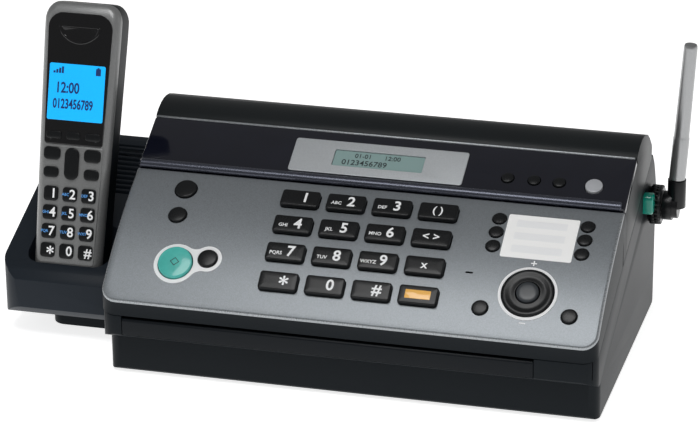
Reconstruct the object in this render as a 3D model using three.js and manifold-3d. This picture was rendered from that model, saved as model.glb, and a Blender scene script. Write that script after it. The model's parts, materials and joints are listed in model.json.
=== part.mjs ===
// A desktop fax machine with a cordless handset standing in a side cradle.
// Millimetres, +Z up, +Y towards the back, origin under the middle of the whole object.
// Shapes are drawn in the main housing's own frame: X = 0 at its right side wall, Y = 0 at the
// foot of its front wall and Z = 0 near its underside. The outer group moves them to the middle of
// the whole object and up onto its feet.
import * as THREE from 'three';
import { mergeVertices } from 'three/addons/utils/BufferGeometryUtils.js';
import Module from 'manifold-3d';

const wasm = await Module();
wasm.setup();

// ---- Driving dimensions --------------------------------------------------------------------
const FEET_BOTTOM = -3.2;
const SHIFT = new THREE.Vector3(169.4, -79.4, -FEET_BOTTOM);
const GAP = 0.35;              // running gap between neighbouring pieces
const WALL = 2.5;              // moulded wall thickness
const RIGHT = 0;               // main housing, right side wall
const LEFT = -287.4;           // main housing, left side wall
const CASE_LEFT = -285.6;      // the left wall is inset below the overhang
const FRONT = [-8.7, 47.0];    // front edge of the operation panel (Y, Z)
const PANEL_TOP = [67.3, 97.3];
const PANEL_BULGE = 3.9;       // rise of the panel's arc over its chord
const RIDGE = [102.6, 115.3];
const SEAM_FRONT = [-8.7, 36.4];
const SEAM_BACK = [154.0, 97.6];
const BACK_HIGH = [166.8, 55.7];
const COVER_BACK = [167.7, 73.3];
const OVERHANG = 24.0;         // height of the overhang's underside
const EXIT_LEFT = -274.7;      // document exit, left and right ends
const EXIT_RIGHT = -35.1;
const KEY_PITCH = 27.0;
const KEY_SIZE = [22.4, 11.4, 3.0];
const KEY_FIRST_X = -185.2;
const KEY_ROWS = [0.838, 0.632, 0.426, 0.220];   // along the panel, 0 at the front, 1 at the top
const CASE_BOTTOM = -1.2;
const HANDSET_LEAN = THREE.MathUtils.degToRad(18);
const HANDSET_BASE = [-326.1, 50.0, 22.0];       // middle of the handset's foot
const HANDSET_LENGTH = 169;
const ANTENNA_AXIS = [146.0, 70.0];              // swivel axis (Y, Z)
const ANTENNA_LEAN = THREE.MathUtils.degToRad(4);

// ---- Solids --------------------------------------------------------------------------------
function solid(geometry) {
  const bare = geometry.clone();
  bare.deleteAttribute('normal');
  bare.deleteAttribute('uv');
  const merged = mergeVertices(bare, 1e-4);
  return new wasm.Manifold(new wasm.Mesh({
    numProp: 3,
    vertProperties: new Float32Array(merged.attributes.position.array),
    triVerts: new Uint32Array(merged.index.array),
  }));
}

function toGeometry(body) {
  const mesh = body.getMesh();
  const geometry = new THREE.BufferGeometry();
  geometry.setAttribute('position', new THREE.BufferAttribute(new Float32Array(mesh.vertProperties), 3));
  geometry.setIndex(new THREE.BufferAttribute(new Uint32Array(mesh.triVerts), 1));
  geometry.computeVertexNormals();
  return geometry;
}

const union = (...bodies) => bodies.reduce((sum, next) => sum.add(next));

// A closed outline of [y, z] points pushed along X from x0 to x1.
const PROFILE_TO_BODY = new THREE.Matrix4().makeBasis(
  new THREE.Vector3(0, 1, 0), new THREE.Vector3(0, 0, 1), new THREE.Vector3(1, 0, 0));

function along(outline, x0, x1) {
  const shape = new THREE.Shape(outline.map(([y, z]) => new THREE.Vector2(y, z)));
  const geometry = new THREE.ExtrudeGeometry(shape, { depth: x1 - x0, bevelEnabled: false });
  geometry.applyMatrix4(PROFILE_TO_BODY);
  geometry.translate(x0, 0, 0);
  return solid(geometry);
}

function box(x0, x1, y0, y1, z0, z1) {
  const geometry = new THREE.BoxGeometry(x1 - x0, y1 - y0, z1 - z0);
  geometry.translate((x0 + x1) / 2, (y0 + y1) / 2, (z0 + z1) / 2);
  return solid(geometry);
}

// A round bar along X, Y or Z whose middle is at the given point.
function bar(radius, length, axis, middle, sides = 24, endRadius = radius) {
  const geometry = new THREE.CylinderGeometry(endRadius, radius, length, sides);
  if (axis === 'x') geometry.rotateZ(-Math.PI / 2);
  if (axis === 'z') geometry.rotateX(Math.PI / 2);
  geometry.translate(...middle);
  return solid(geometry);
}

// A rounded rectangle in the XY plane, from z0 to z1.
function slab(width, height, radius, z0, z1, segments = 3) {
  const w = width / 2;
  const h = height / 2;
  const r = Math.min(radius, w - 0.01, h - 0.01);
  const shape = new THREE.Shape();
  shape.absarc(w - r, h - r, r, 0, Math.PI / 2);
  shape.absarc(-w + r, h - r, r, Math.PI / 2, Math.PI);
  shape.absarc(-w + r, -h + r, r, Math.PI, Math.PI * 1.5);
  shape.absarc(w - r, -h + r, r, Math.PI * 1.5, Math.PI * 2);
  shape.closePath();
  const options = { depth: z1 - z0, bevelEnabled: false, curveSegments: segments };
  const geometry = new THREE.ExtrudeGeometry(shape, options);
  geometry.translate(0, 0, z0);
  return solid(geometry);
}

const root = new THREE.Group();
root.position.copy(SHIFT);

function add(name, body, [color, roughness, metalness = 0], parent = root) {
  const material = new THREE.MeshStandardMaterial({ color, roughness, metalness });
  const mesh = new THREE.Mesh(toGeometry(body), material);
  mesh.name = name;
  parent.add(mesh);
  return mesh;
}

const SATIN_BLACK = [0x24282a, 0.45];
const PANEL_GREY = [0x5a5d64, 0.4, 0.5];
const GLOSS_NAVY = [0x12131e, 0.12];
const KEY_BLACK = [0x1b1c1e, 0.4];
const RUBBER = [0x202020, 0.9];
const STEEL = [0xb0b4b8, 0.3, 1.0];

// ---- The panel's and the strip's surfaces ---------------------------------------------------
// A point on the panel's arc, t from 0 at the front edge to 1 at the top, sunk by `depth`.
const CHORD = Math.hypot(PANEL_TOP[0] - FRONT[0], PANEL_TOP[1] - FRONT[1]);
const CHORD_DIR = [(PANEL_TOP[0] - FRONT[0]) / CHORD, (PANEL_TOP[1] - FRONT[1]) / CHORD];

function panelFrame(t) {
  const bulge = PANEL_BULGE * 4 * t * (1 - t);
  const slope = PANEL_BULGE * 4 * (1 - 2 * t) / CHORD;
  const turn = Math.atan2(CHORD_DIR[1], CHORD_DIR[0]) + Math.atan(slope);
  return {
    y: FRONT[0] + CHORD * t * CHORD_DIR[0] - bulge * CHORD_DIR[1],
    z: FRONT[1] + CHORD * t * CHORD_DIR[1] + bulge * CHORD_DIR[0],
    turn,
  };
}

function panelLine(depth, from = 0, to = 1, steps = 12) {
  return Array.from({ length: steps + 1 }, (_, i) => {
    const p = panelFrame(from + (to - from) * i / steps);
    return [p.y + depth * Math.sin(p.turn), p.z - depth * Math.cos(p.turn)];
  });
}

const STRIP_TURN = Math.atan2(RIDGE[1] - PANEL_TOP[1], RIDGE[0] - PANEL_TOP[0]);
const STRIP_LENGTH = Math.hypot(RIDGE[0] - PANEL_TOP[0], RIDGE[1] - PANEL_TOP[1]);

// A frame on the strip, `below` mm down the slope from the ridge.
function stripFrame(below) {
  return {
    y: RIDGE[0] - below * Math.cos(STRIP_TURN),
    z: RIDGE[1] - below * Math.sin(STRIP_TURN),
    turn: STRIP_TURN,
  };
}

// A group whose local XY plane lies on the surface at (x, frame), local +Z pointing outwards.
function placed(x, frame) {
  const group = new THREE.Group();
  group.position.set(x, frame.y, frame.z);
  group.rotation.x = frame.turn;
  root.add(group);
  group.updateMatrix();
  return group;
}

// ---- Buttons: each is a node of its own, and each leaves its hole to be cut -----------------
const panelHoles = [];
const stripHoles = [];

function button(name, x, frame, cap, hole, look, holes) {
  const group = placed(x, frame);
  add(name, cap, look, group);
  holes.push(hole.transform(group.matrix.elements));
}

function roundButton(name, x, frame, radius, height, look, holes = panelHoles, sides = 20) {
  const cap = bar(radius, height + 5, 'z', [0, 0, (height - 5) / 2], sides, radius - 0.3);
  const hole = bar(radius + GAP, 20, 'z', [0, 0, 0], sides);
  button(name, x, frame, cap, hole, look, holes);
}

KEY_ROWS.forEach((t, row) => {
  for (let column = 0; column < 4; column += 1) {
    const [width, height, rise] = KEY_SIZE;
    const cap = slab(width, height, 2.2, -5, rise);
    const hole = slab(width + 2 * GAP, height + 2 * GAP, 2.5, -10, 10);
    const x = KEY_FIRST_X + KEY_PITCH * column;
    button(`key_${row + 1}_${column + 1}`, x, panelFrame(t), cap, hole, KEY_BLACK, panelHoles);
  }
});

roundButton('caller_id_button', -254.1, panelFrame(0.842), 6.4, 1.6, KEY_BLACK);
roundButton('stop_button', -254.2, panelFrame(0.635), 5.2, 1.6, KEY_BLACK);
roundButton('start_button', -247.7, panelFrame(0.283), 9.9, 2.2, [0x3fae9c, 0.3], panelHoles, 32);
roundButton('copy_button', -229.5, panelFrame(0.336), 5.5, 1.6, KEY_BLACK);
roundButton('locator_button', -68.6, panelFrame(0.188), 4.4, 1.6, KEY_BLACK);
roundButton('menu_button', -18.2, panelFrame(0.188), 4.4, 1.6, KEY_BLACK);
[0.846, 0.739, 0.632].forEach((t, row) => {
  roundButton(`one_touch_${row + 1}_left`, -69.0, panelFrame(t), 3.9, 1.2, KEY_BLACK, panelHoles, 16);
  roundButton(`one_touch_${row + 1}_right`, -18.3, panelFrame(t), 3.9, 1.2, KEY_BLACK, panelHoles, 16);
});

const NAV_X = -43.6;
const navFrame = panelFrame(0.318);
const navRing = bar(14.7, 6.5, 'z', [0, 0, -1.75], 36, 13.9).subtract(bar(6.4 + GAP, 20, 'z', [0, 0, 0], 24));
const navHole = bar(14.7 + GAP, 20, 'z', [0, 0, 0], 36);
button('volume_ring', NAV_X, navFrame, navRing, navHole, KEY_BLACK, panelHoles);
const setCap = bar(6.4, 6.8, 'z', [0, 0, -1.2], 24, 6.0);
button('set_button', NAV_X, navFrame, setCap, setCap, [0x3c4046, 0.35], []);

const SMALL_BUTTON_BELOW = 23.2;
[['record_button', -70.6], ['erase_button', -55.2], ['playback_button', -40.7]].forEach(([name, x]) => {
  roundButton(name, x, stripFrame(SMALL_BUTTON_BELOW), 3.5, 1.2, KEY_BLACK, stripHoles, 16);
});
roundButton('auto_answer_button', -20.5, stripFrame(23.8), 5.0, 1.6, [0x9a9c9e, 0.35], stripHoles);

// ---- Operation panel ------------------------------------------------------------------------
const seamAt = (y, up = 0) => {
  const share = (y - SEAM_FRONT[0]) / (SEAM_BACK[0] - SEAM_FRONT[0]);
  return [y, SEAM_FRONT[1] + share * (SEAM_BACK[1] - SEAM_FRONT[1]) + up];
};
const sunk = (frame, depth) => [
  frame.y + depth * Math.sin(frame.turn), frame.z - depth * Math.cos(frame.turn)];
// The height of the strip's plane above a given Y, sunk by `depth`.
const stripAt = (y, depth) => [
  y, RIDGE[1] + (y - RIDGE[0]) * Math.tan(STRIP_TURN) - depth / Math.cos(STRIP_TURN)];
const SKIRT = 74;                        // the panel's side skirts end here, under the strip
const panelOuter = along([
  seamAt(FRONT[0] + 0.6, GAP), seamAt(SKIRT, GAP), stripAt(SKIRT, 4.2),
  stripAt(PANEL_TOP[0] + 1.5, 4.2), ...panelLine(0).reverse(), [FRONT[0], FRONT[1] - 1.5]], LEFT, RIGHT);
const panelInner = along([
  [FRONT[0] + WALL, 20], [SKIRT + 5, 20], [SKIRT + 5, 120], [PANEL_TOP[0] + 1.2, 120],
  ...panelLine(2.8, 0, 1).reverse(), [FRONT[0] + WALL, FRONT[1] - 4]], LEFT + WALL, RIGHT - WALL);
const cornerCut = (x, side) => {
  const radius = 9;
  const block = box(Math.min(x, x - side * radius), Math.max(x, x - side * radius),
    FRONT[0] - 1, FRONT[0] + radius, 20, 80);
  return block.subtract(bar(radius, 80, 'z', [x - side * radius, FRONT[0] + radius, 50], 32));
};
let panel = panelOuter.subtract(panelInner);
panelHoles.forEach((hole) => { panel = panel.subtract(hole); });
const roundedPanel = panel.subtract(cornerCut(LEFT, -1)).subtract(cornerCut(RIGHT, 1));

// The index card's shallow recess and the microphone's slot.
const card = placed(-43.6, panelFrame(0.727));
const cardRecess = slab(41.4, 30.6, 1.2, -0.9, 6).transform(card.matrix.elements);
const micro = placed(-78.8, panelFrame(0.424));
const microSlot = slab(4.2, 1.0, 0.5, -8, 6).transform(micro.matrix.elements);
add('operation_panel', roundedPanel.subtract(cardRecess).subtract(microSlot), PANEL_GREY);

// ---- Display strip, its lens and the bar under it --------------------------------------------
const BAR_FROM = 33.6;
const BAR_TO = 39.2;
const stripOuter = along([
  sunk(stripFrame(STRIP_LENGTH - 0.6), 0), sunk(stripFrame(0.3), 0), sunk(stripFrame(0.3), 3.2),
  sunk(stripFrame(STRIP_LENGTH - 0.6), 3.2)], LEFT, RIGHT);
const barMiddle = (BAR_FROM + BAR_TO) / 2;
const barFrame = stripFrame(barMiddle);
const roundBar = bar((BAR_TO - BAR_FROM) / 2, RIGHT - LEFT - 2, 'x',
  [(LEFT + RIGHT) / 2, sunk(barFrame, 0.6)[0], sunk(barFrame, 0.6)[1]], 16);
let strip = union(stripOuter, roundBar);
stripHoles.forEach((hole) => { strip = strip.subtract(hole); });
const DISPLAY_X = -147.5;
const displayFrame = stripFrame(19.4);
const display = placed(DISPLAY_X, displayFrame);
strip = strip.subtract(slab(53.6, 12.2, 0.8, -10, 10).transform(display.matrix.elements));
strip = strip.subtract(slab(103.6, 25.5, 1.8, -0.9, 10).transform(display.matrix.elements));
add('display_strip', strip, GLOSS_NAVY);
add('display_lens', slab(52.9, 11.5, 0.6, -3.0, -0.4), [0x93aaa8, 0.2], display);

// ---- Top cover: the rounded hood behind the ridge, with its end faces and back ----------------
const hoodOutline = [
  [RIDGE[0] + 0.5, RIDGE[1] - 0.6], [104.2, 116.4], [108, 118.4], [113, 120.2], [118, 121], [123, 120.9],
  [129, 119.8], [136.4, 117.0], [143, 112.2], [149, 106.4], [154.5, 100.0], [160, 91.0], [164.6, 81.5],
  COVER_BACK, [BACK_HIGH[0] + 0.15, BACK_HIGH[1] + 1.2]];
const hoodSkin = [
  ...hoodOutline, [BACK_HIGH[0] - 2.6, BACK_HIGH[1] + 1.2], [COVER_BACK[0] - 2.9, COVER_BACK[1] - 0.5],
  [161.8, 80.4], [157.5, 89.5], [152.2, 98.2], [147, 104.5], [141.2, 110], [135, 114.4], [128.3, 117.1],
  [122.8, 118.1], [118.2, 118.2], [113.5, 117.4], [109, 115.8], [RIDGE[0] + 2.6, 111.6]];
const sideOutline = [
  seamAt(SKIRT + GAP, GAP), seamAt(150.5, GAP), [150.5, 103.6], [149, 106.4], [143, 112.2], [136.4, 117.0],
  [129, 119.8], [123, 120.9], [118, 121], [113, 120.2], [108, 118.4], [104.2, 116.4],
  [RIDGE[0] + 0.5, RIDGE[1] - 0.6], stripAt(RIDGE[0] + 2.4, 4.2),
  stripAt(SKIRT + GAP, 4.2)];
const rearSkin = along(hoodSkin, LEFT + WALL + GAP, RIGHT - WALL - GAP);
const topSkin = along([
  ...hoodOutline.slice(0, 10), [150.5, 104.7], [150.5, 100.4], [147, 104.5], [141.2, 110], [135, 114.4],
  [128.3, 117.1], [122.8, 118.1], [118.2, 118.2], [113.5, 117.4], [109, 115.8],
  [RIDGE[0] + 2.6, 111.6]], LEFT, RIGHT);
const leftCheek = along(sideOutline, LEFT, LEFT + WALL);
const rightCheek = along(sideOutline, RIGHT - WALL, RIGHT);
add('top_cover', union(rearSkin, topSkin, leftCheek, rightCheek), SATIN_BLACK);

// ---- Lower case: an open tub -----------------------------------------------------------------
const EXIT_TOP = SEAM_FRONT[1];
const upperWall = along([
  [0, OVERHANG - 4], [FRONT[0] + 1.2, OVERHANG], [FRONT[0], OVERHANG + 1.2], SEAM_FRONT, SEAM_BACK,
  [160, 90.6], [164.4, 81.5], [COVER_BACK[0] - 0.3, COVER_BACK[1]], BACK_HIGH,
  [165.65, OVERHANG - 4]], LEFT, RIGHT);
const lowerWall = along([
  [1.5, CASE_BOTTOM], [163.3, CASE_BOTTOM], [164.8, CASE_BOTTOM + 1.5], [165.65, OVERHANG - 3],
  [0, OVERHANG - 3], [0, CASE_BOTTOM + 1.5]], CASE_LEFT, RIGHT);
// Only the two front corners are rounded: the block runs on past the back.
const roundedPlan = (x0, x1, front, radius) => slab(x1 - x0, 240, radius, -10, 140, 8)
  .translate([(x0 + x1) / 2, front + 120, 0]);
const upperHollow = along([
  [FRONT[0] + WALL, OVERHANG + 2.5], [165.65 - WALL, OVERHANG + 2.5], [BACK_HIGH[0] - WALL, BACK_HIGH[1]],
  [200, BACK_HIGH[1]], [200, 140], [FRONT[0] + WALL, 140]], LEFT + WALL, RIGHT - WALL);
const lowerHollow = along([
  [WALL, CASE_BOTTOM + WALL], [165 - WALL, CASE_BOTTOM + WALL], [165.5 - WALL, OVERHANG + 3], [WALL, OVERHANG + 3]],
CASE_LEFT + WALL, RIGHT - WALL);
const exitNotch = box(EXIT_LEFT, EXIT_RIGHT, -20, -1.5, OVERHANG + 0.8, EXIT_TOP + 10);
const RELEASE_Y = 129.6;
const RELEASE_Z = 77;
const releaseHole = box(-10, 10, RELEASE_Y - 4.6, RELEASE_Y + 4.6, RELEASE_Z - 6.6, RELEASE_Z + 6.6);
const powerInlet = box(-75, -49, 155, 175, 12, 30);
const lineJack = box(-110, -97, 155, 175, 12, 24);
const lowerCase = union(
  upperWall.intersect(roundedPlan(LEFT, RIGHT, FRONT[0], 9)),
  lowerWall.intersect(roundedPlan(CASE_LEFT, RIGHT, 0, 6)))
  .subtract(upperHollow).subtract(lowerHollow).subtract(exitNotch).subtract(releaseHole)
  .subtract(powerInlet).subtract(lineJack);
add('lower_case', lowerCase, [0x1c2023, 0.5]);

// The document exit guide: a long strip that closes the overhang below the exit slot.
const EXIT_HEIGHT = 1.4;
add('document_exit_guide', along([
  [FRONT[0] - 0.2, OVERHANG + 1.15], [-2.6, OVERHANG + 1.15], [-2.6, EXIT_TOP - EXIT_HEIGHT - 2.5],
  [-4.2, EXIT_TOP - EXIT_HEIGHT], [FRONT[0] + 0.8, EXIT_TOP - EXIT_HEIGHT],
  [FRONT[0] - 0.2, EXIT_TOP - EXIT_HEIGHT - 1]], EXIT_LEFT + GAP, EXIT_RIGHT - GAP), [0x202427, 0.5]);

// Rubber foot rails, one along the front and one along the back.
[['front', 12], ['rear', 148]].forEach(([place, y]) => {
  const rail = slab(-CASE_LEFT - 30, 12, 5.5, FEET_BOTTOM, CASE_BOTTOM - 0.3);
  add(`foot_rail_${place}`, rail.translate([CASE_LEFT / 2, y, 0]), RUBBER);
});

// ---- Release button and antenna ---------------------------------------------------------------
const releaseGroup = new THREE.Group();
releaseGroup.position.set(0, RELEASE_Y, RELEASE_Z);
releaseGroup.rotation.y = Math.PI / 2;
root.add(releaseGroup);
add('release_button', slab(12.4, 8.5, 3.2, -7, 5.5, 4), [0x00826e, 0.35], releaseGroup);

const antennaBase = union(
  bar(10.5, 7.7, 'x', [4.2, ...ANTENNA_AXIS], 28),
  bar(11.5, 2.0, 'x', [3.6, ...ANTENNA_AXIS], 28),
  bar(11.5, 2.0, 'x', [6.6, ...ANTENNA_AXIS], 28));
add('antenna_base', antennaBase, KEY_BLACK);
const antenna = new THREE.Group();
antenna.position.set(13.4, ...ANTENNA_AXIS);
root.add(antenna);
const elbow = union(
  bar(8.6, 5.6, 'x', [-2.1, 0, 0], 24), bar(5.4, 17, 'z', [2.6, 0, 8.4], 20),
  bar(7.2, 4.4, 'x', [1.8, 0, 0], 24));
add('antenna_elbow', elbow, KEY_BLACK, antenna);
const rod = new THREE.Group();
rod.position.set(2.6, 0, 17.2);
rod.rotation.y = ANTENNA_LEAN;
antenna.add(rod);
const rodProfile = [
  [0, 0], [4.5, 0], [4.8, 0.6], [4.8, 26], [4.45, 28], [3.95, 82.6], [3.5, 84.0], [0, 84.0]];
const rodGeometry = new THREE.LatheGeometry(rodProfile.map(([r, h]) => new THREE.Vector2(r, h)), 20);
rodGeometry.rotateX(Math.PI / 2);
add('antenna_rod', solid(rodGeometry), [0x969696, 0.3, 0.9], rod);

// ---- Handset cradle ---------------------------------------------------------------------------
const CRADLE_LEFT = -364.5;
const CRADLE_RIGHT = CASE_LEFT - GAP;
const cradleOutline = [
  [38, 10.5], [30.5, 17], [31.5, 34], [36, 39.2], [44, 42.5], [150, 78.4], [155.5, 79.0], [159, 76], [160, 60],
  [160, 14], [154, 9]];
const cradlePlan = new THREE.Shape();
cradlePlan.moveTo(CRADLE_RIGHT, 30);
cradlePlan.lineTo(CRADLE_RIGHT, 160);
cradlePlan.absarc(CRADLE_LEFT + 16, 144, 16, Math.PI / 2, Math.PI);
cradlePlan.absarc(CRADLE_LEFT + 18, 48, 18, Math.PI, Math.PI * 1.5);
cradlePlan.closePath();
const planGeometry = new THREE.ExtrudeGeometry(cradlePlan, { depth: 90, bevelEnabled: false, curveSegments: 10 });
const wing = along(cradleOutline, CRADLE_LEFT - 2, CRADLE_RIGHT).intersect(solid(planGeometry));
const overhangRelief = box(LEFT - GAP, CRADLE_RIGHT + 5, -20, 200, OVERHANG - 4.5, 120);
const wingHollow = along([
  [44, 5], [150, 5], [150, 50], [118, 50], [100, 14], [44, 12]], CRADLE_LEFT + 10, LEFT - 8);

const handset = new THREE.Group();
handset.position.set(...HANDSET_BASE);
handset.rotation.x = -HANDSET_LEAN;
root.add(handset);
handset.updateMatrix();
// Handset shapes are drawn with local +Z along the handset and local -Y towards the user.
function tapered(wBottom, wTop, yFront, yBack, z0, z1, radius) {
  const sections = [0, 0.03, 0.5, 0.92, 0.975, 1];
  const shrink = [0.88, 1, 1, 1, 0.95, 0.82];
  const ringSize = 24;
  const points = [];
  sections.forEach((share, level) => {
    const width = (wBottom + (wTop - wBottom) * share) * shrink[level];
    const depth = (yBack - yFront) * (level === 0 || level === sections.length - 1 ? 0.8 : 1);
    const middle = (yFront + yBack) / 2;
    const w = width / 2 - radius;
    const d = depth / 2 - radius;
    for (let i = 0; i < ringSize; i += 1) {
      const angle = 2 * Math.PI * (i + 0.5) / ringSize;
      const x = Math.sign(Math.cos(angle)) * w + radius * Math.cos(angle);
      const y = middle + Math.sign(Math.sin(angle)) * d + radius * Math.sin(angle);
      points.push(x, y, z0 + (z1 - z0) * share);
    }
  });
  const faces = [];
  const last = sections.length - 1;
  for (let level = 0; level < last; level += 1) {
    for (let i = 0; i < ringSize; i += 1) {
      const j = (i + 1) % ringSize;
      const a = level * ringSize;
      const b = a + ringSize;
      faces.push(a + i, a + j, b + j, a + i, b + j, b + i);
    }
  }
  for (let i = 1; i < ringSize - 1; i += 1) {
    faces.push(0, i + 1, i);
    faces.push(last * ringSize, last * ringSize + i, last * ringSize + i + 1);
  }
  const geometry = new THREE.BufferGeometry();
  geometry.setAttribute('position', new THREE.BufferAttribute(new Float32Array(points), 3));
  geometry.setIndex(faces);
  return solid(geometry);
}
const HANDSET_SPLIT = -6.0;
const handsetBody = tapered(40.5, 47.5, -12, 11, 0, HANDSET_LENGTH, 4);
const frontHalf = handsetBody.intersect(box(-40, 40, -30, HANDSET_SPLIT, -5, 200));
const backHalf = handsetBody.intersect(box(-40, 40, HANDSET_SPLIT + 0.3, 30, -5, 200));
// The front face: screen window, key bed and earpiece recess.
const SCREEN = { width: 34.8, height: 33.6, middle: 116.8 };
const KEYMAT = { width: 33, low: 18.3, high: 92 };
const windowCut = box(-SCREEN.width / 2 - 0.3, SCREEN.width / 2 + 0.3, -20, -10.2,
  SCREEN.middle - SCREEN.height / 2 - 0.3, SCREEN.middle + SCREEN.height / 2 + 0.3);
const keyBed = box(-KEYMAT.width / 2 - 0.3, KEYMAT.width / 2 + 0.3, -20, -9.5, KEYMAT.low - 0.3, KEYMAT.high + 0.3);
const earSlot = box(-8, 8, -20, -10.8, 151, 153.5);
add('handset_front', frontHalf.subtract(windowCut).subtract(keyBed).subtract(earSlot), [0x73736f, 0.35, 0.6], handset);
add('handset_back', backHalf, [0x2a2c2e, 0.5], handset);
add('handset_screen', box(-SCREEN.width / 2, SCREEN.width / 2, -11.7, -10.5,
  SCREEN.middle - SCREEN.height / 2, SCREEN.middle + SCREEN.height / 2), [0x00a5f0, 0.2], handset);
// Handset keys: one rubber mat with every key moulded on it.
let keymat = box(-KEYMAT.width / 2, KEYMAT.width / 2, -10.8, -9.8, KEYMAT.low, KEYMAT.high);
for (let row = 0; row < 4; row += 1) {
  for (let column = 0; column < 3; column += 1) {
    const x = 11.6 * (column - 1);
    const z = KEYMAT.low + 5.5 + 11.1 * row;
    keymat = keymat.add(box(x - 4.7, x + 4.7, -12.9, -10.2, z - 4.4, z + 4.4));
  }
}
for (let row = 0; row < 3; row += 1) {
  const z = KEYMAT.low + 49 + 9.6 * row;
  [-11.6, 11.6].forEach((x) => {
    keymat = keymat.add(box(x - 4.7, x + 4.7, -12.9, -10.5, z - 3.6, z + 3.6));
  });
}
keymat = keymat.add(box(-5.2, 5.2, -13.1, -10.5, KEYMAT.low + 45, KEYMAT.low + 72));
add('handset_keymat', keymat, KEY_BLACK, handset);

const pocket = tapered(42.5, 53, -12.7, 11.7, -0.6, 220, 4.6).transform(handset.matrix.elements);
// The pocket's mouth is wider than the handset, so the foot stands in a shallow dish.
const mouth = tapered(50, 62, -14.6, 15.5, 11, 220, 9).transform(handset.matrix.elements);
const GRILLE = { x0: -352, x1: -296, y0: 104, pitch: 4.0, slots: 11, width: 1.8 };
let cradle = wing.subtract(overhangRelief).subtract(wingHollow).subtract(pocket).subtract(mouth);
for (let i = 0; i < GRILLE.slots; i += 1) {
  const y = GRILLE.y0 + GRILLE.pitch * i;
  cradle = cradle.subtract(box(GRILLE.x0, GRILLE.x1, y, y + GRILLE.width, 40, 100));
}
add('cradle_wing', cradle, [0x31353c, 0.45]);
add('cradle_foot', slab(50, 90, 8, FEET_BOTTOM, 8.7).translate([-316, 99, 0]), [0x1c2023, 0.6]);

// ---- Inside: boards, rollers, paper roll, motor -------------------------------------------------
const MIDDLE = (LEFT + RIGHT) / 2;
const ROLLER_SPAN = 226;
const rollerBar = (radius, y, z, sides = 24) => union(
  bar(radius, ROLLER_SPAN, 'x', [MIDDLE, y, z], sides), bar(3, ROLLER_SPAN + 24, 'x', [MIDDLE, y, z], 12));
const sideFrame = (x) => {
  const plate = along([[14, 5], [134, 5], [134, 58], [88, 60], [40, 34], [14, 34]], x, x + 2);
  return plate
    .subtract(bar(3.3, 20, 'x', [x, 92, 52], 24))
    .subtract(bar(3.3, 20, 'x', [x, 26, 26], 24))
    .subtract(bar(3.3, 20, 'x', [x, 122, 34], 24));
};
const FRAME_LEFT = MIDDLE - ROLLER_SPAN / 2 - 8;
const FRAME_RIGHT = MIDDLE + ROLLER_SPAN / 2 + 6;
const floorPan = box(FRAME_LEFT, FRAME_RIGHT + 2, 14, 134, 4.9, 5.9);
add('chassis', union(sideFrame(FRAME_LEFT), sideFrame(FRAME_RIGHT), floorPan), STEEL);
add('platen_roller', rollerBar(8, 92, 52), RUBBER);
add('feed_roller', rollerBar(7, 26, 26), RUBBER);
add('paper_roll', rollerBar(22, 122, 34, 32), [0xf0efe8, 0.8]);
add('image_sensor', box(MIDDLE - 112, MIDDLE + 112, 40, 58, 20, 30), KEY_BLACK);
add('main_board', box(MIDDLE - 110, MIDDLE + 110, 30, 84, 8, 9.6), [0x1f6b3a, 0.6]);
add('drive_motor', bar(14, 14, 'x', [FRAME_LEFT - 7.5, 66, 30], 24), STEEL);
add('thermal_head', box(MIDDLE - 110, MIDDLE + 110, 86, 98, 62, 68), STEEL);

root.updateMatrixWorld(true);
export default root;
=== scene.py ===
# %% [markdown]
# # A fax machine with a cordless handset
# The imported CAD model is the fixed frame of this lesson. It says where every case, key and joint
# is. Blender then adds what a machine shop would call the finish: rounded edges, paint with metal
# flakes in it, printed digits, backlit glass. Everything is in metres.

# %% Load the frame and note its size
import json
import math

import bmesh
import bpy
from mathutils import Matrix, Vector


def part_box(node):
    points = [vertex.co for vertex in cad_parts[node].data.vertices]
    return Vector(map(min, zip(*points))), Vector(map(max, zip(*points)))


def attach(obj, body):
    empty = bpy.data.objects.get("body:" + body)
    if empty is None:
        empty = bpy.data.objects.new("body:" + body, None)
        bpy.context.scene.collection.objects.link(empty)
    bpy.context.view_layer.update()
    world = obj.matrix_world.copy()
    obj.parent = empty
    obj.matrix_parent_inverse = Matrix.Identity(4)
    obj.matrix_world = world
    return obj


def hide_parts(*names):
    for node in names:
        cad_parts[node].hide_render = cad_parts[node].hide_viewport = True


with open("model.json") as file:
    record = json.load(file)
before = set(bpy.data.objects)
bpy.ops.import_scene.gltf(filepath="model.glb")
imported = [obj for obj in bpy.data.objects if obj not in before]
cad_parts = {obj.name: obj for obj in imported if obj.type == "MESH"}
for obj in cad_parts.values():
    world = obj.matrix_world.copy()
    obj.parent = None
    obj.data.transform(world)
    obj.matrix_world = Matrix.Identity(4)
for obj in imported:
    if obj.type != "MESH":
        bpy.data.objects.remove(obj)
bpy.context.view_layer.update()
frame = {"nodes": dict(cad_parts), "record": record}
MM = 0.001

# %% [markdown]
# The main housing was drawn from its own corner: X = 0 at the right side wall, Y = 0 at the foot of
# the front wall. `spot` turns such a place, in millimetres, into a point of this scene. The corner
# itself comes from the lower case's box in the frame.

# %% Places on the housing
case_low, case_high = (Vector(corner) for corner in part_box("lower_case"))
CORNER = Vector((case_high.x, case_low.y + 8.7 * MM, case_low.z + 1.2 * MM))
HOUSING_WIDTH = (case_high.x - case_low.x) / MM


def spot(x, y, z):
    return CORNER + Vector((x, y, z)) * MM


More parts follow.
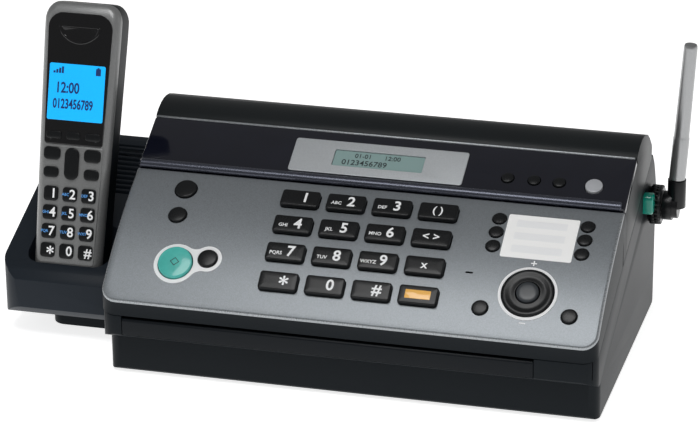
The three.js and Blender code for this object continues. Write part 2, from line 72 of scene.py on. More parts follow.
FRONT = Vector((-8.7, 47.0))          # the operation panel's front edge (Y, Z)
PANEL_TOP = Vector((67.3, 97.3))
PANEL_BULGE = 3.9                     # how far the panel's arc stands over its chord
RIDGE = Vector((102.6, 115.3))
SEAM = (Vector((-8.7, 36.4)), Vector((154.0, 97.6)))
CHORD = (PANEL_TOP - FRONT).length
STRIP_LENGTH = (RIDGE - PANEL_TOP).length
STRIP_TURN = math.atan2(RIDGE.y - PANEL_TOP.y, RIDGE.x - PANEL_TOP.x)
print("housing width, mm:", round(HOUSING_WIDTH, 1))


# %% [markdown]
# Two surfaces carry all the controls. The operation panel is a shallow arc from its front edge up to
# the display strip, and the strip is flat. Each function gives a matrix whose local X runs to the
# right, local Y up the slope and local Z straight out of the surface, so a key, a digit or a printed
# ring is drawn flat once and then set down with one matrix.

# %% Frames on the two surfaces
def surface_matrix(x, y, z, turn):
    return Matrix.Translation(spot(x, y, z)) @ Matrix.Rotation(turn, 4, "X")


def panel_matrix(x, t):
    direction = (PANEL_TOP - FRONT) / CHORD
    normal = Vector((-direction.y, direction.x))
    bulge = PANEL_BULGE * 4 * t * (1 - t)
    slope = math.atan(PANEL_BULGE * 4 * (1 - 2 * t) / CHORD)
    place = FRONT + direction * CHORD * t + normal * bulge
    return surface_matrix(x, place.x, place.y, math.atan2(direction.y, direction.x) + slope)


def panel_point(x, t, out=0.0):
    return panel_matrix(x, t) @ Vector((0, 0, out * MM))


def strip_matrix(x, below):
    """A frame on the strip, `below` millimetres down the slope from the ridge."""
    place = RIDGE - Vector((math.cos(STRIP_TURN), math.sin(STRIP_TURN))) * below
    return surface_matrix(x, place.x, place.y, STRIP_TURN)


def button_matrix(node, middle_depth):
    """The frame of a button: its press axis points in, and its box gives the middle of its cap."""
    inward = next(Vector(j["axis"]) for j in frame["record"]["behaviour"]["joints"] if j["child"] == node)
    low, high = (Vector(corner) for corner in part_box(node))
    out = -inward
    right = Vector((1, 0, 0))
    up = out.cross(right)
    origin = (low + high) / 2 - out * middle_depth * MM
    matrix = Matrix((right, up, out)).transposed().to_4x4()
    return Matrix.Translation(origin) @ matrix


# %% [markdown]
# ## Shader maths as Python
# A node tree is easier to read as an expression. `Wire` wraps one output socket, and adding or
# multiplying wires adds the Math nodes. `Paint` owns one material and makes any other node.

# %% Wire and Paint
class Wire:
    def __init__(self, paint, socket):
        self.paint = paint
        self.socket = socket

    def maths(self, operation, first, second):
        return self.paint.add("ShaderNodeMath", {"operation": operation}, {0: first, 1: second})

    def __add__(self, other):
        return self.maths("ADD", self, other)

    def __mul__(self, other):
        return self.maths("MULTIPLY", self, other)

    __radd__ = __add__
    __rmul__ = __mul__


class Paint:
    def __init__(self, name, **fixed):
        self.material = bpy.data.materials.new(name)
        self.material.use_nodes = True
        self.nodes = self.material.node_tree.nodes
        self.links = self.material.node_tree.links
        self.shader = self.nodes["Principled BSDF"]
        for socket, value in fixed.items():
            self.shader.inputs[socket.replace("_", " ")].default_value = value

    def add(self, kind, settings, inputs, output=0):
        node = self.nodes.new(kind)
        for name, value in settings.items():
            setattr(node, name, value)
        for name, value in inputs.items():
            self.join(node.inputs[name], value)
        return Wire(self, node.outputs[output])

    def join(self, socket, value):
        if isinstance(value, Wire):
            self.links.new(value.socket, socket)
        else:
            socket.default_value = value

    def feed(self, socket, value):
        self.join(self.shader.inputs[socket], value)

    def place(self):
        return self.add("ShaderNodeTexCoord", {}, {}, "Object")

    def noise(self, scale, detail=2.0, roughness=0.5):
        return self.add("ShaderNodeTexNoise", {}, {
            "Vector": self.place(), "Scale": scale, "Detail": detail, "Roughness": roughness}, "Fac")

    def between(self, factor, low, high):
        """A colour from low to high as the factor goes from 0 to 1."""
        return self.add("ShaderNodeMix", {"data_type": "RGBA"}, {0: factor, 6: low, 7: high}, 2)

    def ramp(self, factor, start, end):
        """0 below start, 1 above end."""
        return self.add("ShaderNodeMapRange", {}, {
            "Value": factor, "From Min": start, "From Max": end})

    def bump(self, height, strength, distance):
        wire = self.add("ShaderNodeBump", {}, {
            "Height": height, "Strength": strength, "Distance": distance})
        self.feed("Normal", wire)


def tint(red, green, blue, gain=1.0):
    """A linear colour from 0-255 screen values."""
    def linear(value):
        share = value * gain / 255
        return share / 12.92 if share <= 0.04045 else ((share + 0.055) / 1.055) ** 2.4
    return (linear(red), linear(green), linear(blue), 1.0)


# %% [markdown]
# ## Moulded plastics
# A dark injection-moulded case isn't one flat black. Its steel mould was spark-eroded, which leaves a
# fine pebble in the surface, and handling polishes some of it. So the base colour drifts slightly,
# the roughness drifts more, and a fine noise drives a shallow bump.

# %% Moulded plastic finishes
def moulded(name, colour, roughness, pebble=0.25, pebble_scale=2600.0, drift=0.25, shine=0.5):
    paint = Paint(name, Specular_IOR_Level=shine)
    broad = paint.noise(14.0, 3.0)
    fine = paint.noise(pebble_scale, 2.0, 0.6)
    darker = tuple(c * (1 - drift) for c in colour[:3]) + (1.0,)
    lighter = tuple(min(1.0, c * (1 + drift)) for c in colour[:3]) + (1.0,)
    paint.feed("Base Color", paint.between(broad * 0.6 + fine * 0.4, darker, lighter))
    paint.feed("Roughness", roughness - 0.05 + broad * 0.07 + fine * 0.05)
    paint.bump(fine, pebble, 0.00008)
    return paint.material


case_black = moulded("case_black", tint(20, 25, 29), 0.42, shine=0.1)
hood_black = moulded("hood_black", tint(24, 28, 30), 0.4, 0.12, 3200.0, 0.18, shine=0.2)
cradle_slate = moulded("cradle_slate", tint(33, 39, 46), 0.38, 0.18, shine=0.12)
key_black = moulded("key_black", tint(13, 15, 17), 0.27, 0.06, 4200.0, 0.15, shine=0.3)
set_grey = moulded("set_grey", tint(48, 52, 56), 0.3, 0.08)
rubber_black = moulded("rubber_black", tint(30, 30, 30), 0.85, 0.4, 1800.0)
lip_black = moulded("lip_black", tint(18, 22, 26), 0.36, 0.12, 3000.0, 0.15, shine=0.12)
print("moulded finishes made")


# %% [markdown]
# ## Metallic lacquer
# The grey of the operation panel is a lacquer with aluminium flakes. Each flake is far smaller than a
# key, so a cell pattern at about a third of a millimetre tilts and brightens tiny patches. The whole
# surface stays fairly rough, which spreads the softbox into the wide grey gradient of such panels.

# %% Metallic lacquers
def lacquer(name, colour, metallic, roughness, flake=0.5, scale=3200.0):
    paint = Paint(name, Coat_Weight=0.25, Coat_Roughness=0.22)
    cells = paint.add("ShaderNodeTexVoronoi", {}, {"Vector": paint.place(), "Scale": scale}, "Color")
    sparkle = paint.add("ShaderNodeSeparateColor", {}, {"Color": cells}, 0)
    broad = paint.noise(9.0, 2.0)
    darker = tuple(c * (1 - 0.3 * flake) for c in colour[:3]) + (1.0,)
    lighter = tuple(min(1.0, c * (1 + 0.45 * flake)) for c in colour[:3]) + (1.0,)
    paint.feed("Base Color", paint.between(sparkle * 0.85 + broad * 0.15, darker, lighter))
    paint.feed("Metallic", metallic - 0.1 + sparkle * 0.1)
    paint.feed("Roughness", roughness - 0.04 + sparkle * 0.06 + broad * 0.04)
    paint.bump(sparkle, 0.08, 0.00005)
    return paint.material


panel_grey = lacquer("panel_grey", tint(122, 127, 131), 0.6, 0.38)
# The rim's silver is lighter than the panel's grey: a painted highlight on the rolled rim and on the ridge
# bead.
rim_highlight_silver = lacquer("rim_highlight_silver", tint(150, 154, 157), 0.75, 0.28, 0.25)
bar_grey = lacquer("bar_grey", tint(66, 69, 80), 0.7, 0.24, 0.25)
surround_silver = lacquer("surround_silver", tint(186, 190, 193), 0.5, 0.4, 0.3)
handset_silver = lacquer("handset_silver", tint(132, 133, 133), 0.5, 0.34, 0.35)
rod_silver = lacquer("rod_silver", tint(158, 159, 160), 0.85, 0.3, 0.12)
accent_silver = lacquer("accent_silver", tint(205, 207, 210), 0.9, 0.2, 0.1)
print("lacquers made")


# %% [markdown]
# ## Gloss, glass and light
# The display strip is polished plastic under a clear coat: nearly black, sharp reflections, and a
# trace of fingerprints that shows only in the roughness. The lamps and lenses are simple: a coloured
# base, a gloss coat, and for the handset's screen an even backlight. The amber label and the index
# card get the same faint emission, which is a painted glow, as neither of them is a lamp.

# %% Gloss finishes
def polished(name, colour, roughness=0.09, smudge=0.10):
    paint = Paint(name, Coat_Weight=0.4, Coat_Roughness=0.03, Specular_IOR_Level=0.35)
    film = paint.ramp(paint.noise(38.0, 5.0, 0.65), 0.42, 0.75)
    paint.feed("Base Color", paint.between(film, colour, tuple(c * 1.25 for c in colour[:3]) + (1.0,)))
    paint.feed("Roughness", roughness + film * smudge)
    return paint.material


def lamp_and_painted_glow(name, colour, strength, roughness=0.12):
    paint = Paint(name, Coat_Weight=0.8, Coat_Roughness=0.05, Emission_Strength=strength)
    glow = paint.noise(30.0, 1.0)
    shade = paint.between(glow, tuple(c * 0.94 for c in colour[:3]) + (1.0,), colour)
    paint.feed("Base Color", shade)
    paint.feed("Emission Color", shade)
    paint.feed("Roughness", roughness + glow * 0.04)
    return paint.material


strip_navy = polished("strip_navy", tint(14, 16, 28))
face_black = polished("face_black", tint(4, 4, 6), 0.07)
start_green = polished("start_green", tint(76, 182, 172), 0.16, 0.12)
release_teal = polished("release_teal", tint(0, 138, 118), 0.16, 0.1)
clear_grey = polished("clear_grey", tint(172, 174, 178), 0.2, 0.1)
screen_blue = lamp_and_painted_glow("screen_blue", tint(0, 168, 244), 0.55)
display_green = lamp_and_painted_glow("display_green", tint(132, 158, 156), 0.1)
# The amber label is print, not a lamp: its faint emission is a painted glow.
amber_label_painted_glow = lamp_and_painted_glow("amber_label_painted_glow", tint(238, 176, 62), 0.1, 0.35)
ink_white = moulded("ink_white", tint(250, 251, 252), 0.5, 0.05, drift=0.02)
ink_sky = moulded("ink_sky", tint(90, 160, 235), 0.5, 0.05)
ink_dark = moulded("ink_dark", tint(24, 34, 40), 0.5, 0.05)
ink_blue = moulded("ink_blue", tint(10, 50, 110), 0.4, 0.02)
# The index card is paper, not a lamp: its faint emission is a painted glow that makes it look brighter.
card_white_painted_glow = lamp_and_painted_glow("card_white_painted_glow", tint(250, 250, 249), 0.12, 0.4)
print("gloss finishes made")

# %% [markdown]
# Inside the cover are plated steel, a green circuit board and the roll of recording paper. They show
# when the cover lifts.

# %% Inner finishes
steel_plate = lacquer("steel_plate", tint(186, 189, 193), 0.95, 0.3, 0.15, 900.0)
board_green = polished("board_green", tint(24, 96, 58), 0.3)
paper_white = moulded("paper_white", tint(238, 237, 230), 0.8, 0.15, 1200.0, 0.03)


# %% [markdown]
# ## Drawing shapes
# Nearly every control is a lofted cap: a rounded outline repeated at a few heights, drawn in slightly
# at the top so that its edge is round. `loft` joins rings of equal length, and `finish_piece` puts
# the mesh down, gives it its paint and lets it ride on its body. `link_draft` and `evaluated_shape`
# take a mesh through modifiers and back.

# %% Mesh helpers
SHARP = math.radians(32)
INK_THICKNESS = 0.12


def rounded_outline(width, height, radius, steps=6):
    radius = min(radius, width / 2, height / 2)
    points = []
    for side_x, side_y, start in ((1, 1, 0), (-1, 1, 90), (-1, -1, 180), (1, -1, 270)):
        for step in range(steps + 1):
            angle = math.radians(start + 90 * step / steps)
            points.append(Vector((
                side_x * (width / 2 - radius) + radius * math.cos(angle),
                side_y * (height / 2 - radius) + radius * math.sin(angle))))
    return points


def loft(rings, closed=True):
    """A mesh through rings of points that run anticlockwise seen from the last ring."""
    shape = bmesh.new()
    rows = [[shape.verts.new(point) for point in ring] for ring in rings]
    count = len(rows[0])
    for below, above in zip(rows, rows[1:]):
        for i in range(count):
            j = (i + 1) % count
            shape.faces.new((below[i], below[j], above[j], above[i]))
    if closed:
        shape.faces.new(list(reversed(rows[0])))
        shape.faces.new(rows[-1])
    bmesh.ops.remove_doubles(shape, verts=shape.verts, dist=1e-7)
    return shape


def finish_piece(name, shape, paint, body, matrix=None, replaces=(), sharp=SHARP):
    """`paint` is one material, or a list where the faces' own numbers choose between several."""
    if matrix is not None:
        shape.transform(matrix)
    mesh = bpy.data.meshes.new(name)
    shape.to_mesh(mesh)
    shape.free()
    mesh.shade_smooth()
    mesh.set_sharp_from_angle(angle=sharp)
    piece = bpy.data.objects.new(name, mesh)
    bpy.context.scene.collection.objects.link(piece)
    for coat in (paint if isinstance(paint, list) else [paint]):
        mesh.materials.append(coat)
    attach(piece, body)
    if replaces:
        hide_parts(*replaces)


def link_draft(name, shape, coats=()):
    mesh = bpy.data.meshes.new(name)
    shape.to_mesh(mesh)
    shape.free()
    for coat in coats:
        mesh.materials.append(coat)
    draft = bpy.data.objects.new(name, mesh)
    bpy.context.scene.collection.objects.link(draft)
    return draft


def evaluated_shape(draft):
    """The draft's mesh with its modifiers applied, as a bmesh. The draft itself goes."""
    bpy.context.view_layer.update()
    mesh = bpy.data.meshes.new_from_object(draft.evaluated_get(bpy.context.evaluated_depsgraph_get()))
    shape = bmesh.new()
    shape.from_mesh(mesh)
    bpy.data.objects.remove(draft)
    bpy.data.meshes.remove(mesh)
    return shape


def joined(shapes):
    """One bmesh that holds all the shapes. The shapes themselves go."""
    gathered = bmesh.new()
    for shape in shapes:
        mesh = bpy.data.meshes.new("joined")
        shape.to_mesh(mesh)
        shape.free()
        gathered.from_mesh(mesh)
        bpy.data.meshes.remove(mesh)
    return gathered


def cap_rings(width, height, radius, bottom, top, edge=0.8, crown=0.0, steps=6):
    """The rings of a cap, in metres. Its upper edge is a quarter round of size `edge`."""
    levels = [(0.0, bottom), (0.0, top - edge)]
    levels += [(edge * (1 - math.cos(a)), top - edge * (1 - math.sin(a)))
               for a in (math.radians(d) for d in (22.5, 45, 67.5, 90))]
    if crown:
        levels.append((min(width, height) * 0.3, top + crown))
    rings = []
    for inset, level in levels:
        outline = rounded_outline(width - 2 * inset, height - 2 * inset, max(radius - inset, 0.05), steps)
        rings.append([Vector((p.x, p.y, level)) * MM for p in outline])
    return rings


def text_shape(words, size, bold):
    """Digits or a sign as a thin solid, centred on the origin, drawn in metres."""
    curve = bpy.data.curves.new("legend", "FONT")
    curve.body = words
    curve.size = size * MM
    curve.align_x = "CENTER"
    curve.align_y = "CENTER"
    curve.extrude = INK_THICKNESS * MM / 2
    curve.offset = bold * MM
    curve.resolution_u = 3
    holder = bpy.data.objects.new("legend", curve)
    bpy.context.scene.collection.objects.link(holder)
    shape = evaluated_shape(holder)
    bmesh.ops.remove_doubles(shape, verts=shape.verts, dist=1e-7)
    bpy.data.curves.remove(curve)
    return shape


# %% [markdown]
# Some CAD solids already have the right shape and only lack the small radius that every moulded or
# pressed edge has. `refined` copies such a node, merges its loose triangles, dissolves flat ones into
# larger faces and lets a Bevel modifier round the sharp edges.

# %% Refined copies of CAD nodes
def refined(node, paint, edge, segments=3, angle=30.0):
    source = frame["nodes"][node]
    shape = bmesh.new()
    shape.from_mesh(source.data)
    bmesh.ops.remove_doubles(shape, verts=shape.verts, dist=1e-6)
    bmesh.ops.dissolve_limit(shape, angle_limit=math.radians(0.4), verts=shape.verts, edges=shape.edges)
    draft = link_draft(node + "_draft", shape)
    bevel = draft.modifiers.new("edge", "BEVEL")
    bevel.width = edge * MM
    bevel.segments = segments
    bevel.limit_method = "ANGLE"
    bevel.angle_limit = math.radians(angle)
    bevel.use_clamp_overlap = True
    bevel.miter_outer = "MITER_ARC"
    body = next(name for name, nodes in frame["record"]["behaviour"]["bodies"].items() if node in nodes)
    finish_piece(node + "_finished", evaluated_shape(draft), paint, body, None, (node,), math.radians(angle))


PLAIN = {
    "lower_case": (case_black, 0.8), "document_exit_guide": (lip_black, 0.5),
    "top_cover": (hood_black, 0.9), "cradle_wing": (cradle_slate, 0.45),
    "release_button": (release_teal, 1.2), "foot_rail_front": (rubber_black, 0.4),
    "foot_rail_rear": (rubber_black, 0.4), "cradle_foot": (case_black, 0.5),
    "chassis": (steel_plate, 0.2), "thermal_head": (steel_plate, 0.4), "drive_motor": (steel_plate, 0.8),
    "main_board": (board_green, 0.2), "image_sensor": (case_black, 0.4),
    "platen_roller": (rubber_black, 0.3), "feed_roller": (rubber_black, 0.3),
    "paper_roll": (paper_white, 0.4),
}
for node, (paint, edge) in PLAIN.items():
    refined(node, paint, edge)
print("refined copies:", len(PLAIN))

# %% [markdown]
# ## The keypad keys
# Each key is a rounded block with a soft upper edge and a slight crown. Its digit is a thin solid,
# printed on the crown, and rides on the same body, so it sinks with the key.

# %% Keypad keys
KEY_RISE = 3.0
KEY_DEPTH = 5.0
KEY_SIZE = (22.4, 11.4, 1.7)          # width, height and corner radius
KEY_HOLE = (23.3, 12.3, 2.8)
KEY_PRINT = KEY_RISE + 0.14           # the height of the printing on a key
LETTERS = {"2": "ABC", "3": "DEF", "4": "GHI", "5": "JKL", "6": "MNO", "7": "PQRS", "8": "TUV", "9": "WXYZ"}
SIGNS = {"key_1_4": "( )", "key_2_4": "< >", "key_3_4": "x"}
DIGITS = (("1", "2", "3", ""), ("4", "5", "6", ""), ("7", "8", "9", ""), ("*", "0", "#", ""))


def print_on(name, words, size, matrix, x, y, height, body, paint=ink_white, bold=0.05):
    shape = text_shape(words, size, bold)
    finish_piece(name, shape, paint, body, matrix @ Matrix.Translation(Vector((x, y, height)) * MM))


def cap_piece(node, paint, width, height, radius, rise, edge, crown, steps=6):
    matrix = button_matrix(node, (rise - KEY_DEPTH) / 2)
    rings = cap_rings(width, height, radius, -KEY_DEPTH, rise, edge, crown, steps)
    finish_piece(node + "_cap", loft(rings), paint, node, matrix, (node,))
    return matrix


for row, digits in enumerate(DIGITS):
    for column, digit in enumerate(digits):
        node = f"key_{row + 1}_{column + 1}"
        matrix = cap_piece(node, key_black, *KEY_SIZE, KEY_RISE, 0.8, 0.1)
        if digit:
            print_on(node + "_digit", digit, 12.5 if digit == "*" else 9.4, matrix, 3.3,
                     -2.2 if digit == "*" else 0.0, KEY_PRINT, node, bold=0.2)
        if node in SIGNS:
            print_on(node + "_sign", SIGNS[node], 7.0, matrix, 0.0, 0.0, KEY_PRINT, node, bold=0.1)
        if digit in LETTERS:
            print_on(node + "_letters", LETTERS[digit], 3.1, matrix, -5.2, -1.4, KEY_PRINT, node)
print("keys:", 4 * len(DIGITS))

# %% Round buttons
ROUND = {
    "caller_id_button": (key_black, 6.4, 1.6), "stop_button": (key_black, 5.2, 1.6),
    "start_button": (start_green, 9.9, 2.2), "copy_button": (key_black, 5.5, 1.6),
    "locator_button": (key_black, 4.4, 1.6), "menu_button": (key_black, 4.4, 1.6),
    "record_button": (key_black, 3.5, 1.2), "erase_button": (key_black, 3.5, 1.2),
    "playback_button": (key_black, 3.5, 1.2), "auto_answer_button": (clear_grey, 5.0, 1.6),
}
ROUND.update({f"one_touch_{row}_{side}": (key_black, 3.9, 1.2)
              for row in (1, 2, 3) for side in ("left", "right")})
STRIP_BUTTONS = ("record_button", "erase_button", "playback_button", "auto_answer_button")
round_places = {}
for node, (paint, radius, rise) in ROUND.items():
    round_places[node] = cap_piece(node, paint, 2 * radius, 2 * radius, radius, rise, 0.7, 0.25, 10)
print("round buttons:", len(ROUND))


# %% Volume ring and set button
def disc_rings(levels, sides=56):
    """Rings of a turned shape: (radius, height) pairs in millimetres, bottom first."""
    return [[Vector((r * math.cos(2 * math.pi * i / sides), r * math.sin(2 * math.pi * i / sides), h)) * MM
             for i in range(sides)] for r, h in levels]


ring_matrix = button_matrix("volume_ring", -1.75)
ring_levels = [(6.9, -5.0), (14.6, -5.0), (14.6, 0.7), (14.3, 1.3), (13.6, 1.6), (12.4, 1.5), (10.8, 1.0),
               (9.2, 0.9), (8.0, 1.2), (7.2, 1.2), (6.9, 0.9), (6.9, -5.0)]
finish_piece("volume_ring_turned", loft(disc_rings(ring_levels), False), key_black, "volume_ring",
             ring_matrix, ("volume_ring",))
set_matrix = button_matrix("set_button", -1.2)
set_levels = [(6.4, -4.6), (6.4, 1.4), (6.2, 1.9), (5.7, 2.2), (4.0, 2.35), (2.0, 2.4)]
finish_piece("set_button_turned", loft(disc_rings(set_levels, 40)), set_grey, "set_button", set_matrix,
             ("set_button",))

# %% Antenna
for node, edge in (("antenna_base", 0.5), ("antenna_elbow", 0.6)):
    refined(node, key_black, edge, 2, 28.0)
rod_levels = [(4.4, 0.0), (4.8, 0.5), (4.8, 25.6), (4.7, 26.4), (4.5, 27.2), (4.45, 28.0), (4.2, 55.0),
              (3.97, 81.8), (3.85, 83.0), (3.5, 83.7), (2.6, 84.0)]
rod_matrix = Matrix.Translation(spot(16.0, 146.0, 87.2)) @ Matrix.Rotation(math.radians(4.0), 4, "Y")
finish_piece("antenna_rod_turned", loft(disc_rings(rod_levels, 48)), rod_silver, "antenna", rod_matrix,
             ("antenna_rod",))

# %% [markdown]
# ## Cutting holes
# A hole is easiest as a Boolean: all the plugs of one surface are gathered in one mesh, taken away
# from the shell in a single exact step, and the modifier's result becomes the plain mesh.

# %% Boolean helper
def cut(shape, plugs, wall=None):
    """Takes the plugs, a list of bmeshes, out of the shape. `wall` first thickens an open skin."""
    draft = link_draft("shell_draft", shape)
    if wall:
        thicken = draft.modifiers.new("wall", "SOLIDIFY")
        thicken.thickness = wall * MM
        thicken.offset = -1.0
    cutter = link_draft("plugs", joined(plugs))
    boolean = draft.modifiers.new("holes", "BOOLEAN")
    boolean.object = cutter
    boolean.operation = "DIFFERENCE"
    boolean.solver = "EXACT"
    result = evaluated_shape(draft)
    bpy.data.objects.remove(cutter)
    return result


def plug(matrix, width, height, radius, depth=9.0, steps=8):
    outline = rounded_outline(width, height, radius, steps)
    shape = loft([[Vector((p.x, p.y, level)) * MM for p in outline] for level in (-depth, depth)])
    shape.transform(matrix)
    return shape


# %% [markdown]
# ## The operation panel
# The panel is one moulding: a sheet that follows the shallow arc, a rolled silver rim, and a dark
# skirt that drops to the seam. The rim's silver is lighter than the sheet's grey: a painted highlight
# along its rounded edge. It is lofted in rings from the skirt inwards. Each ring is a rounded
# rectangle on the sheet, so the surface stays smooth and the holes can't disturb its shading.

# %% Operation panel
PANEL_RIM = 1.7
PANEL_CORNER = 9.0
SHEET_START = -0.013
GAP = 0.35
MICROPHONE = (-78.8, 0.424)


def sheet_outline(inset, rows=26, columns=40, front_steps=8, back_steps=3):
    """Points around the panel's sheet as (x, distance up the sheet), anticlockwise from outside."""
    left, right = -HOUSING_WIDTH + inset, -inset
    low, high = SHEET_START * CHORD + inset, CHORD - 0.3 - inset
    front_r = max(PANEL_CORNER - inset, 0.3)
    back_r = 0.6
    across = right - left
    upwards = high - low - front_r - back_r
    points = []

    def straight(x, along, run_x, run_along, steps):
        for step in range(steps):
            points.append((x + run_x * step / steps, along + run_along * step / steps))

    def corner(x, along, radius, start, steps):
        for step in range(steps):
            angle = math.radians(start + 90 * step / steps)
            points.append((x + radius * math.cos(angle), along + radius * math.sin(angle)))

    straight(left + front_r, low, across - 2 * front_r, 0, columns)
    corner(right - front_r, low + front_r, front_r, -90, front_steps)
    straight(right, low + front_r, 0, upwards, rows)
    corner(right - back_r, high - back_r, back_r, 0, back_steps)
    straight(right - back_r, high, -(across - 2 * back_r), 0, columns)
    corner(left + back_r, high - back_r, back_r, 90, back_steps)
    straight(left, high - back_r, 0, -upwards, rows)
    corner(left + front_r, low + front_r, front_r, 180, front_steps)
    return points


def on_sheet(x, along, out):
    return panel_point(x, along / CHORD, out)


def seam_height(y):
    share = (y - SEAM[0].x) / (SEAM[1].x - SEAM[0].x)
    return SEAM[0].y + share * (SEAM[1].y - SEAM[0].y) + GAP


edge_ring = [on_sheet(x, along, -PANEL_RIM) for x, along in sheet_outline(0.0)]
skirt_ring = []
for point, (x, along) in zip(edge_ring, sheet_outline(0.0)):
    y = (point - CORNER).y / MM
    foot = seam_height(y) if along < CHORD - 1.5 else (point - CORNER).z / MM - 4.0
    skirt_ring.append(spot(x, y, foot))
panel_rings = [skirt_ring, edge_ring]
for degrees in (18, 36, 54, 72, 90):
    lean = math.radians(degrees)
    inset = PANEL_RIM * (1 - math.cos(lean))
    sink = -PANEL_RIM * (1 - math.sin(lean))
    panel_rings.append([on_sheet(x, along, sink) for x, along in sheet_outline(inset)])
SPINE_LEFT, SPINE_RIGHT, SPINE_ALONG = -HOUSING_WIDTH + 46.0, -46.0, CHORD / 2
flat_outline = sheet_outline(PANEL_RIM)
RINGS_IN = 16
for step in range(1, RINGS_IN + 1):
    share = step / RINGS_IN
    ring = []
    for x, along in flat_outline:
        inner_x = min(max(x, SPINE_LEFT), SPINE_RIGHT)
        ring.append(on_sheet(x + (inner_x - x) * share, along + (SPINE_ALONG - along) * share, 0.0))
    panel_rings.append(ring)
panel_skin = loft(panel_rings, closed=False)
panel_skin.faces.ensure_lookup_table()
count = len(edge_ring)
# The first band is the dark skirt, the next four the rolled rim in its lighter silver, a painted highlight,
# and the rest the sheet.
for face in panel_skin.faces:
    ring_number = face.index // count
    face.material_index = 0 if ring_number < 1 else (2 if ring_number < 5 else 1)

panel_plugs = []
for row in range(4):
    for column in range(4):
        matrix = button_matrix(f"key_{row + 1}_{column + 1}", (KEY_RISE - KEY_DEPTH) / 2)
        panel_plugs.append(plug(matrix, *KEY_HOLE))
for node, (paint, radius, rise) in ROUND.items():
    if node not in STRIP_BUTTONS:
        panel_plugs.append(plug(round_places[node], 2 * radius + 1.0, 2 * radius + 1.0, radius + 0.5))
panel_plugs.append(plug(ring_matrix, 30.2, 30.2, 15.1, steps=14))
panel_plugs.append(plug(panel_matrix(*MICROPHONE), 4.4, 1.1, 0.5))
panel_shape = cut(panel_skin, panel_plugs, 2.4)
finish_piece("operation_panel_shell", panel_shape, [case_black, panel_grey, rim_highlight_silver], "upper_unit", None,
             ("operation_panel",), math.radians(38))

# Behind the sheet the skirts run on, under the strip, to meet the top cover's cheeks.
SKIRT_END = 74.0


def strip_underside(y):
    return RIDGE.y + (y - RIDGE.x) * math.tan(STRIP_TURN) - 3.6


for side, x0, x1 in (("left", -HOUSING_WIDTH, -HOUSING_WIDTH + 2.4), ("right", -2.4, 0.0)):
    corners = ((66.4, seam_height(66.4)), (SKIRT_END, seam_height(SKIRT_END)),
               (SKIRT_END, strip_underside(SKIRT_END)), (68.2, strip_underside(68.2)), (66.4, 94.6))
    skirt = loft([[spot(x, y, z) for y, z in corners] for x in (x0, x1)])
    finish_piece(f"panel_skirt_{side}", skirt, case_black, "upper_unit")
print("panel rings:", len(panel_rings), "plugs:", len(panel_plugs))

# %% [markdown]
# ## The display strip
# A flat, polished plate between the panel and the ridge, with a half-round metallic bar along its
# foot. The display sits in a matt silver surround with a window over the liquid crystal.

# %% Display strip
STRIP_PLATE = STRIP_LENGTH - 1.0
strip_middle = strip_matrix(-HOUSING_WIDTH / 2, STRIP_LENGTH / 2)
strip_rings = cap_rings(HOUSING_WIDTH, STRIP_PLATE, 1.4, -3.2, 0.0, 0.7)
strip_plugs = []
for node in STRIP_BUTTONS:
    hole = 2 * ROUND[node][1] + 0.9
    strip_plugs.append(plug(round_places[node], hole, hole, ROUND[node][1] + 0.45))
DISPLAY = strip_matrix(-147.5, 19.4)
strip_plugs.append(plug(DISPLAY, 53.9, 12.5, 0.9))
strip_shape = loft(strip_rings)
strip_shape.transform(strip_middle)
finish_piece("display_strip_plate", cut(strip_shape, strip_plugs), strip_navy, "upper_unit", None,
             ("display_strip",))

surround_shape = loft(cap_rings(103.0, 24.9, 1.6, -0.6, 0.35, 0.3))
surround_shape.transform(DISPLAY)
finish_piece("display_surround", cut(surround_shape, [plug(DISPLAY, 53.7, 12.3, 0.9)]), surround_silver,
             "upper_unit")
finish_piece("display_window", loft(cap_rings(53.3, 11.9, 0.8, -3.0, -0.15, 0.25)), display_green,
             "upper_unit", DISPLAY, ("display_lens",))
print_on("display_clock", "01-01      12:00", 4.4, DISPLAY, -1.0, 2.6, -0.08, "upper_unit", ink_dark, 0.02)
print_on("display_number", "0123456789", 5.4, DISPLAY, -8.0, -2.7, -0.08, "upper_unit", ink_dark, 0.02)


# %% Bar and ridge
def rod_along_x(x0, x1, place, radius, squash, sides=28):
    """A rounded rod between x0 and x1, centred on a (Y, Z) place, flattened by `squash`."""
    rings = []
    for x, share in ((x0, 0.75), (x0 + 0.6, 1.0), (x1 - 0.6, 1.0), (x1, 0.75)):
        ring = []
        for i in range(sides):
            angle = 2 * math.pi * i / sides
            out = Vector((math.cos(angle), math.sin(angle) * squash)) * radius * share
            turned = Vector((out.x * math.cos(STRIP_TURN) - out.y * math.sin(STRIP_TURN),
                             out.x * math.sin(STRIP_TURN) + out.y * math.cos(STRIP_TURN)))
            ring.append(spot(x, place.x + turned.x, place.y + turned.y))
        rings.append(ring)
    return loft(rings)


def strip_place(below, out):
    along_strip = Vector((math.cos(STRIP_TURN), math.sin(STRIP_TURN)))
    normal = Vector((-along_strip.y, along_strip.x))
    return RIDGE - along_strip * below + normal * out


bar = rod_along_x(-HOUSING_WIDTH + 0.8, -2.2, strip_place(36.2, -0.2), 3.0, 0.8)
finish_piece("strip_bar", bar, bar_grey, "upper_unit")
# The ridge bead is raised, and its lighter silver is a painted highlight along the ridge.
bead = rod_along_x(-HOUSING_WIDTH + 0.6, -1.2, strip_place(-0.2, -0.4), 0.75, 1.0)
finish_piece("ridge_bead", bead, rim_highlight_silver, "upper_unit")

# %% [markdown]
# ## Printing on a curve
# The white fields and the paper index card are thin, flat shapes, but the panel isn't flat. So each
# is drawn flat, sliced across into narrow bands, and every point is then set down on the arc. That
# keeps a film of 0.12 mm from sinking into the crown of the panel.

